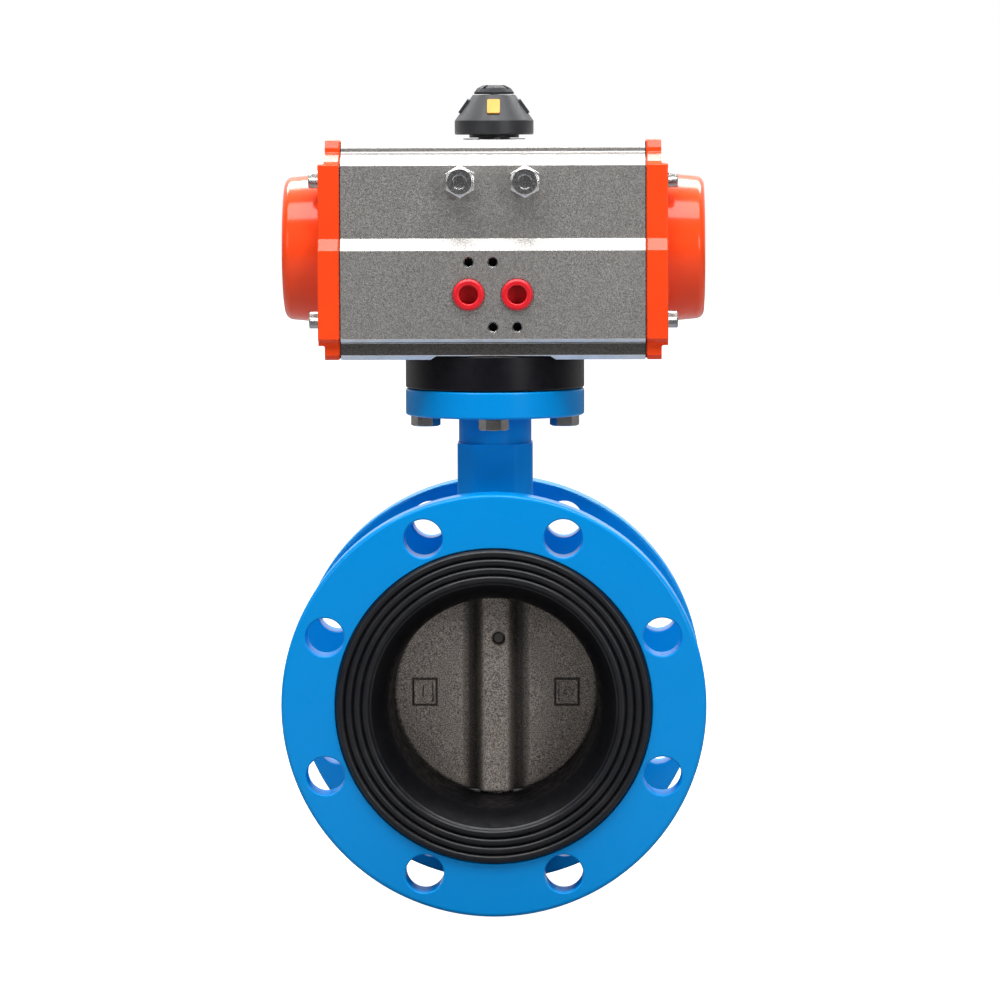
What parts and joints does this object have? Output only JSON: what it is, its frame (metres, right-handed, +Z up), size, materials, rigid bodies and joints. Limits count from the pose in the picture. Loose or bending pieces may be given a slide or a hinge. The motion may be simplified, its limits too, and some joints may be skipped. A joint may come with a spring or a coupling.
{
  "type": "pneumatic actuated butterfly valve",
  "caption": "Double-flanged rubber-seated butterfly valve turned a quarter turn by a pneumatic rack-and-pinion actuator on its top flange.",
  "frame": {"origin": "where the stem's axis crosses the pipe's axis, at the middle of the disc", "axes": "+Z up the stem towards the actuator, +Y along the pipe's axis towards the outlet flange, +X along the actuator"},
  "size_m": [0.2102, 0.132, 0.4108],
  "materials": {
    "blue_enamel": "satin",
    "seat_rubber": "satin",
    "cast_disc": "rough cast",
    "stainless": "satin",
    "bronze": "machined",
    "black_anodised": "anodised",
    "grey_anodised": "bead-blasted and anodised",
    "orange_enamel": "semi-gloss",
    "steel": "machined",
    "aluminium": "machined",
    "white_plastic": "matte",
    "black_rubber": "matte",
    "red_plastic": "semi-gloss",
    "dark_plastic": "satin",
    "yellow_plastic": "satin"
  },
  "bodies": {
    "housing": {"valve_body": "blue_enamel", "seat_liner": "seat_rubber", "stem_bush_upper": "bronze", "stem_bush_lower": "bronze", "stem_seal": "black_rubber", "adapter_ring": "black_anodised", "flange_bolt_right": "stainless", "flange_bolt_back": "stainless", "flange_bolt_left": "stainless", "flange_bolt_front": "stainless", "actuator_body": "grey_anodised", "end_cap_right": "orange_enamel", "cap_gasket_right": "black_rubber", "cap_screw_right_1": "stainless", "cap_screw_right_2": "stainless", "cap_screw_right_3": "stainless", "cap_screw_right_4": "stainless", "end_cap_left": "orange_enamel", "cap_gasket_left": "black_rubber", "cap_screw_left_1": "stainless", "cap_screw_left_2": "stainless", "cap_screw_left_3": "stainless", "cap_screw_left_4": "stainless", "pinion_bush_top": "white_plastic", "pinion_bush_bottom": "white_plastic", "thrust_washer": "dark_plastic", "stop_screw_left": "stainless", "stop_locknut_left": "stainless", "stop_screw_right": "stainless", "stop_locknut_right": "stainless"},
    "shaft": {"valve_disc": "cast_disc", "valve_stem": "stainless", "taper_pin_lower": "stainless", "taper_pin_upper": "stainless", "pinion": "steel", "stop_cam": "steel", "indicator_base": "dark_plastic", "indicator_dome": "dark_plastic", "indicator_screw": "stainless", "indicator_mark_front": "yellow_plastic", "indicator_mark_back": "yellow_plastic"},
    "left_piston": {"piston_left": "aluminium", "piston_o_ring_left": "black_rubber", "piston_guide_band_left": "white_plastic", "rack_pad_left": "white_plastic"},
    "right_piston": {"piston_right": "aluminium", "piston_o_ring_right": "black_rubber", "piston_guide_band_right": "white_plastic", "rack_pad_right": "white_plastic"},
    "left_plug": {"port_plug_left": "red_plastic"},
    "right_plug": {"port_plug_right": "red_plastic"}
  },
  "joints": [
    {"name": "stem_turn", "type": "hinge", "parent": "housing", "child": "shaft", "pos_m": [0, 0, 0], "axis": [0, 0, 1], "range_deg": [0, 90]},
    {"name": "left_piston_slide", "type": "slide", "parent": "housing", "child": "left_piston", "axis": [-1, 0, 0], "range_m": [0, 0.022]},
    {"name": "right_piston_slide", "type": "slide", "parent": "housing", "child": "right_piston", "axis": [1, 0, 0], "range_m": [0, 0.022]},
    {"name": "left_plug_pull", "type": "slide", "parent": "housing", "child": "left_plug", "axis": [0, -1, 0], "range_m": [0, 0.02]},
    {"name": "right_plug_pull", "type": "slide", "parent": "housing", "child": "right_plug", "axis": [0, -1, 0], "range_m": [0, 0.02]}
  ],
  "couplings": [
    {"joint": "left_piston_slide", "follows": "stem_turn", "m_per_rad": 0.014},
    {"joint": "right_piston_slide", "follows": "stem_turn", "m_per_rad": 0.014}
  ]
}
